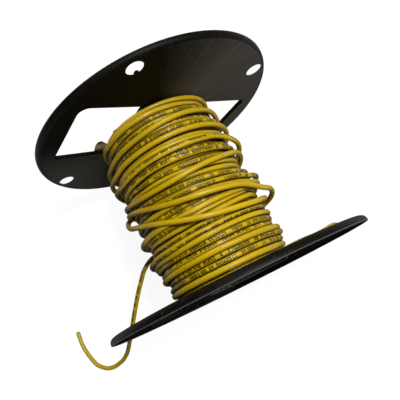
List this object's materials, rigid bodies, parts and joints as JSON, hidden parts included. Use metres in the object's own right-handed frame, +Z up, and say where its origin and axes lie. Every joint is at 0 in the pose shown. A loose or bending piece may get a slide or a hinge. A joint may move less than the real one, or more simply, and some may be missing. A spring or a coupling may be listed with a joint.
{
  "type": "wire spool",
  "caption": "Steel spool with two pressed flanges on a fibre core, holding the last turns of yellow building wire, with its free end lying on the floor.",
  "frame": {"origin": "on the surface that the spool lies on, under the middle of its axis", "axes": "+X along the spool's axis from the far flange to the near one, +Z up from the surface, -Y to the side where the free end lies"},
  "size_m": [0.1345, 0.219, 0.1648],
  "materials": {
    "flange_black": "semi-gloss black enamel",
    "arbor_steel": "zinc plated",
    "core_kraft": "kraft fibre",
    "wire_jacket": "clear nylon over yellow insulation",
    "conductor_copper": "bare copper, freshly cut"
  },
  "bodies": {
    "root": {"far_flange": "flange_black", "near_flange": "flange_black", "arbor_tube": "arbor_steel", "core_tube": "core_kraft", "inner_layers": "wire_jacket", "outer_winding": "wire_jacket", "loose_turns": "wire_jacket", "slack_turn": "wire_jacket", "wire_tail": "wire_jacket", "tail_conductor": "conductor_copper"}
  },
  "joints": []
}
